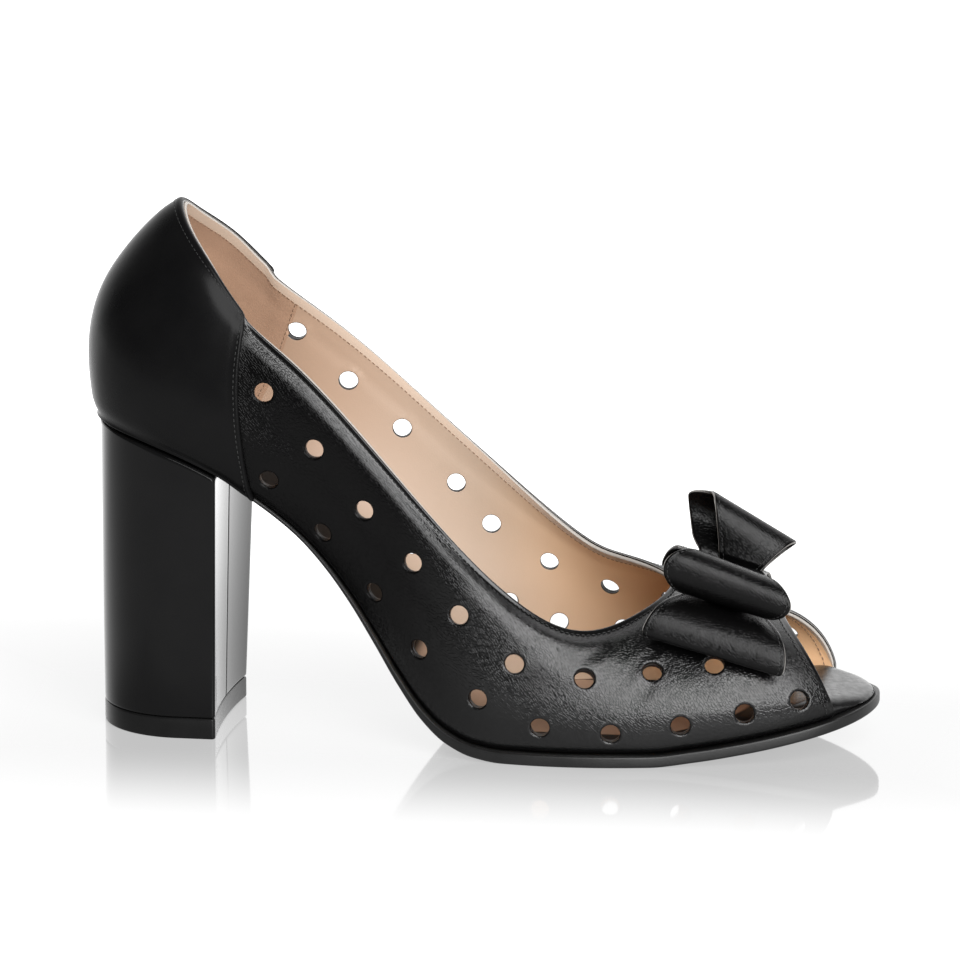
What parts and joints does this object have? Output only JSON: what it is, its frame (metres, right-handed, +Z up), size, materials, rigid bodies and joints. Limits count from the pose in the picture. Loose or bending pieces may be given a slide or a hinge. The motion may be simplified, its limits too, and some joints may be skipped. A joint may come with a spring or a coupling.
{
  "type": "peep-toe court shoe",
  "caption": "Right-foot peep-toe court shoe with a punched leather upper, wrapped block heel, thin curved sole and a layered ribbon bow on the vamp; worn on the foot.",
  "frame": {"origin": "on the floor plane under the middle of the bounding box", "axes": "+X from the heel to the toe, +Y to the inner (medial) side of the foot, +Z up"},
  "size_m": [0.2187, 0.0792, 0.1468],
  "materials": {
    "sole": "black, smooth inked edge",
    "heel": "black leather wrap, satin, glossier on the breast",
    "top_piece": "black, matte",
    "insole": "black smooth leather cover, tan pad under the ball",
    "upper": "black fine grain outside, tan lining inside",
    "back_panel": "black, smooth satin",
    "bow": "black fine grain, stitched edges"
  },
  "bodies": {
    "root": {"outsole": "sole", "heel_block": "heel", "heel_top_piece": "top_piece", "insole": "insole", "upper": "upper", "back_panel": "back_panel", "bow_lower": "bow", "bow_upper": "bow", "bow_band": "bow"}
  },
  "joints": []
}
